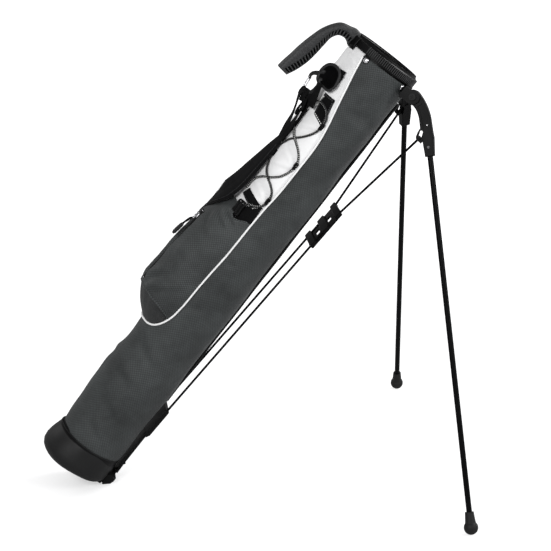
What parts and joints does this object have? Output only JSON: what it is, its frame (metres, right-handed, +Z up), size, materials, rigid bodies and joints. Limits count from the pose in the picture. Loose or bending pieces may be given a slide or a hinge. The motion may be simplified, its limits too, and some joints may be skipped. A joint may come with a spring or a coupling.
{
  "type": "golf stand bag",
  "caption": "Slim tubular golf bag leaning on two folding legs that a toe lever pushes out; front pocket, grab handle, strap hook and elastic cord.",
  "frame": {"origin": "on the ground under the base, in the middle plane, where the toe pad touches", "axes": "+Z up, +X toward the legs, +Y toward the far leg; the tube leans 51.4 degrees above the ground in the XZ plane"},
  "size_m": [0.7002, 0.6558, 0.8066],
  "materials": {
    "boot_plastic": "moulded, fine texture",
    "black_plastic": "moulded satin",
    "grey_plastic": "moulded satin",
    "soft_black": "soft matte",
    "rubber": "matte",
    "foam": "closed cell foam",
    "grey_fabric": "ripstop nylon, dark grey",
    "white_fabric": "coated nylon, white",
    "liner_fabric": "plain lining",
    "white_trim": "piping",
    "black_webbing": "woven webbing",
    "mesh_fabric": "knitted mesh",
    "cord": "elastic cord with white flecks",
    "steel": "polished",
    "leg_tube": "gloss black",
    "black_wire": "black coated wire"
  },
  "bodies": {
    "bag": {"base_boot": "boot_plastic", "base_foam_disc": "foam", "toe_lever_pin": "steel", "body_sleeve": "grey_fabric", "front_panel": "white_fabric", "inner_liner": "liner_fabric", "spine_strip": "black_plastic", "panel_piping": "white_trim", "top_collar": "black_plastic", "collar_rivets": "steel", "grab_handle": "grey_plastic", "handle_grip": "soft_black", "handle_screws": "steel", "stand_yoke": "black_plastic", "leg_pivot_pins": "black_plastic", "front_pocket": "grey_fabric", "pocket_zip_tape": "black_webbing", "pocket_mesh_gusset": "mesh_fabric", "strap_hook_frame": "grey_plastic", "strap_hook_pad": "soft_black", "hook_webbing_tab": "black_webbing", "strap_webbing_patch": "black_webbing", "shoulder_strap_pad": "black_webbing", "shoulder_strap_webbing": "black_webbing", "strap_tail_webbing": "black_webbing", "strap_anchor_webbing": "black_webbing", "strap_slide_buckle": "black_plastic", "bungee_cord": "cord", "cord_loops": "black_webbing"},
    "toe_lever": {"toe_lever": "black_plastic", "toe_rubber_pad": "rubber", "push_plate_pin": "steel"},
    "push_link": {"push_plate": "black_plastic", "lower_push_rods": "black_wire", "rod_spacer_block": "black_plastic"},
    "upper_rod_near": {"upper_push_rod_near": "black_wire"},
    "upper_rod_far": {"upper_push_rod_far": "black_wire"},
    "leg_near": {"leg_elbow_near": "black_plastic", "leg_tube_near": "leg_tube", "leg_foot_near": "rubber", "elbow_screw_near": "steel"},
    "leg_far": {"leg_elbow_far": "black_plastic", "leg_tube_far": "leg_tube", "leg_foot_far": "rubber", "elbow_screw_far": "steel"},
    "zip_slider": {"zip_slider": "steel"},
    "zip_pull": {"zip_pull": "soft_black"},
    "hook_gate": {"strap_hook_gate": "steel"}
  },
  "joints": [
    {"name": "leg_near_fold", "type": "hinge", "parent": "bag", "child": "leg_near", "pos_m": [0.54266, -0.068, 0.68551], "axis": [0.3706, 0.8805, -0.2955], "range_deg": [0, 45]},
    {"name": "leg_far_fold", "type": "hinge", "parent": "bag", "child": "leg_far", "pos_m": [0.54266, 0.068, 0.68551], "axis": [-0.3706, 0.8805, 0.2955], "range_deg": [0, 45]},
    {"name": "toe_lever_tilt", "type": "hinge", "parent": "bag", "child": "toe_lever", "pos_m": [-0.02253, 0, 0.02564], "axis": [0, 1, 0], "range_deg": [0, 37.81]},
    {"name": "push_link_swing", "type": "hinge", "parent": "toe_lever", "child": "push_link", "pos_m": [0.01815, 0, 0.01137], "axis": [0, 1, 0], "range_deg": [-39.43, 0]},
    {"name": "upper_rod_near_swing", "type": "hinge", "parent": "push_link", "child": "upper_rod_near", "pos_m": [0.42348, -0.022, 0.47576], "axis": [-0.6834, -0.6207, 0.3843], "range_deg": [0, 7.85]},
    {"name": "upper_rod_far_swing", "type": "hinge", "parent": "push_link", "child": "upper_rod_far", "pos_m": [0.42348, 0.022, 0.47576], "axis": [0.6834, -0.6207, -0.3843], "range_deg": [0, 7.85]},
    {"name": "zip_slide", "type": "slide", "parent": "bag", "child": "zip_slider", "axis": [0.6802, 0, 0.733], "range_m": [-0.125, 0.004]},
    {"name": "zip_pull_flip", "type": "hinge", "parent": "zip_slider", "child": "zip_pull", "pos_m": [0.18165, -0.00207, 0.48301], "axis": [0.0146, -0.9998, -0.0136], "range_deg": [-150, 0]},
    {"name": "hook_gate_swing", "type": "hinge", "parent": "bag", "child": "hook_gate", "pos_m": [0.36759, -0.01044, 0.69824], "axis": [-0.5988, -0.6429, 0.4775], "range_deg": [-30, 0]}
  ],
  "couplings": [
    {"joint": "leg_far_fold", "follows": "leg_near_fold", "ratio": 1},
    {"joint": "toe_lever_tilt", "follows": "leg_near_fold", "ratio": 0.83991},
    {"joint": "push_link_swing", "follows": "leg_near_fold", "ratio": -0.87591},
    {"joint": "upper_rod_near_swing", "follows": "leg_near_fold", "ratio": 0.17431},
    {"joint": "upper_rod_far_swing", "follows": "leg_near_fold", "ratio": 0.17431}
  ]
}
